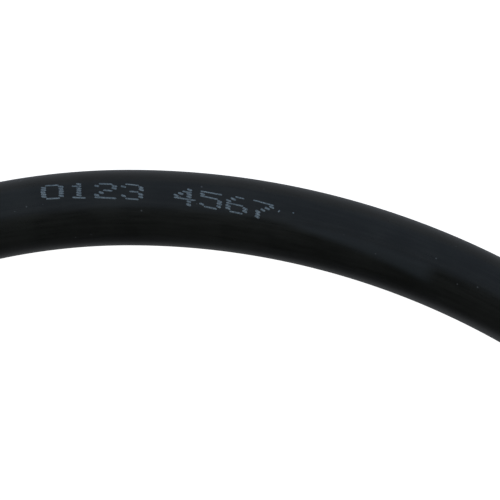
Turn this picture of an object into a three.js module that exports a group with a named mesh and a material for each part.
// Rubber fuel hose, 8 mm bore, cut square at both ends and stored as a low coil of one and a half turns.
// Millimetres, +Z up. The coil lies on the plane z = 0, with the origin under the middle of its box.
import * as THREE from 'three';

// Section of the hose
const outerDiameter = 14;
const bore = 8;

// Length that the hose is sold in
const hoseLength = 914;

// The long bend at the top of the coil, gentler on its right than on its left
const crownLeftRadius = 122;
const crownRightRadius = 147;
const crownRiseAngle = 20;
const crownFallAngle = 30;

// Straight stretches at the two cut ends, and the air between neighbouring turns
const innerEndStraight = 25;
const outerEndStraight = 40;
const turnGap = 0.5;

// The first end lies on top of the turn beside it and comes down off it over this much of the half circle
const climbAngle = 90;

// The corners beside the crown bend at about these radii, in outside diameters
const cornerRange = [4, 5];

// Fineness of the facets
const sectionSides = 16;
const sweepSteps = 76;
const routeStepAngle = 1;

const rubber = new THREE.MeshStandardMaterial({ color: 0x1c1e20, roughness: 0.55, metalness: 0 });

const degree = Math.PI / 180;
const pitch = outerDiameter + turnGap;
const floorHeight = outerDiameter / 2;

// A clockwise bend of one radius between two headings, angles measured up from +X in degrees
function bend(fromHeading, toHeading, radius) {
  return { fromHeading, toHeading, radius };
}

function bendRun(piece) {
  return piece.radius * (Math.sin(piece.fromHeading * degree) - Math.sin(piece.toHeading * degree));
}

function bendRise(piece) {
  return piece.radius * (Math.cos(piece.toHeading * degree) - Math.cos(piece.fromHeading * degree));
}

// The crown, two arcs that meet at its highest point, between the corners that carry it to the sides
function layTop(cornerRadius) {
  return [
    bend(90, crownRiseAngle, cornerRadius),
    bend(crownRiseAngle, 0, crownLeftRadius),
    bend(0, -crownFallAngle, crownRightRadius),
    bend(-crownFallAngle, -90, cornerRadius),
  ];
}

// Adds the points of a bend to the route, which ends where the bend begins
function addBend(route, piece) {
  const turn = piece.fromHeading - piece.toHeading;
  const steps = Math.ceil(turn / routeStepAngle);
  const start = route[route.length - 1];
  for (let step = 1; step <= steps; step += 1) {
    const part = bend(piece.fromHeading, piece.fromHeading - turn * step / steps, piece.radius);
    route.push(start.clone().add(new THREE.Vector3(bendRun(part), bendRise(part), 0)));
  }
}

function addStraight(route, length) {
  route.push(route[route.length - 1].clone().add(new THREE.Vector3(0, length, 0)));
}

// The inner end lies on the outer turn, then rolls down its inner side to the floor
function addClimb(route, outerRadius) {
  const steps = Math.ceil(climbAngle / routeStepAngle);
  for (let step = 0; step <= steps; step += 1) {
    const share = THREE.MathUtils.smoothstep(step, 0, steps);
    const roll = 90 * share * degree;
    const around = -climbAngle * degree * step / steps;
    const radius = outerRadius - pitch * Math.sin(roll);
    const height = floorHeight + pitch * Math.cos(roll);
    route.push(new THREE.Vector3(radius * Math.cos(around), radius * Math.sin(around), height));
  }
}

// Points of the centre line from the inner end, round the middle of the half circles at the bottom
function layRoute(cornerRadius) {
  const top = layTop(cornerRadius);
  const topRun = top.reduce((sum, piece) => sum + bendRun(piece), 0);
  const topRise = top.reduce((sum, piece) => sum + bendRise(piece), 0);
  const innerRadius = (topRun - pitch) / 2;
  const outerRadius = innerRadius + pitch;
  const route = [new THREE.Vector3(outerRadius, innerEndStraight, floorHeight + pitch)];
  addClimb(route, outerRadius);
  addBend(route, bend(-90 - climbAngle, -270, innerRadius));
  addStraight(route, -topRise);
  for (const piece of top) {
    addBend(route, piece);
  }
  addBend(route, bend(-90, -270, outerRadius));
  addStraight(route, outerEndStraight);
  return route;
}

// Distance of each point from the inner end
function measure(route) {
  const distances = [0];
  for (let index = 1; index < route.length; index += 1) {
    distances.push(distances[index - 1] + route[index].distanceTo(route[index - 1]));
  }
  return distances;
}

// The corners take up what the other stretches leave of the hose's length, which grows evenly with them
function fitCornerRadius() {
  const [tight, wide] = cornerRange.map((diameters) => diameters * outerDiameter);
  const [shorter, longer] = [tight, wide].map((radius) => measure(layRoute(radius)).pop());
  return THREE.MathUtils.mapLinear(hoseLength, shorter, longer, tight, wide);
}

// The centre line as a curve for the sweep, from the outer end and with its box over the origin
class HoseRoute extends THREE.Curve {
  constructor(route) {
    super();
    const middle = new THREE.Box3().setFromPoints(route).getCenter(new THREE.Vector3()).setZ(0);
    this.points = route.map((point) => point.clone().sub(middle)).reverse();
    this.distances = measure(this.points);
  }

  getPoint(t, target = new THREE.Vector3()) {
    const distance = t * this.distances[this.distances.length - 1];
    let last = 1;
    while (last < this.distances.length - 1 && this.distances[last] < distance) {
      last += 1;
    }
    const from = this.distances[last - 1];
    const share = (distance - from) / (this.distances[last] - from);
    return target.lerpVectors(this.points[last - 1], this.points[last], share);
  }
}

// One wall of rubber from end to end, with the bore right through it
function makeHose() {
  const section = new THREE.Shape();
  section.absarc(0, 0, outerDiameter / 2, 0, 2 * Math.PI, false);
  const hole = new THREE.Path();
  hole.absarc(0, 0, bore / 2, 0, 2 * Math.PI, true);
  section.holes.push(hole);
  const geometry = new THREE.ExtrudeGeometry(section, {
    curveSegments: sectionSides / 2,
    steps: sweepSteps,
    extrudePath: new HoseRoute(layRoute(fitCornerRadius())),
  });
  const mesh = new THREE.Mesh(geometry, rubber);
  mesh.name = 'hose';
  return mesh;
}

const hoseCoil = new THREE.Group();
hoseCoil.add(makeHose());

export default hoseCoil;
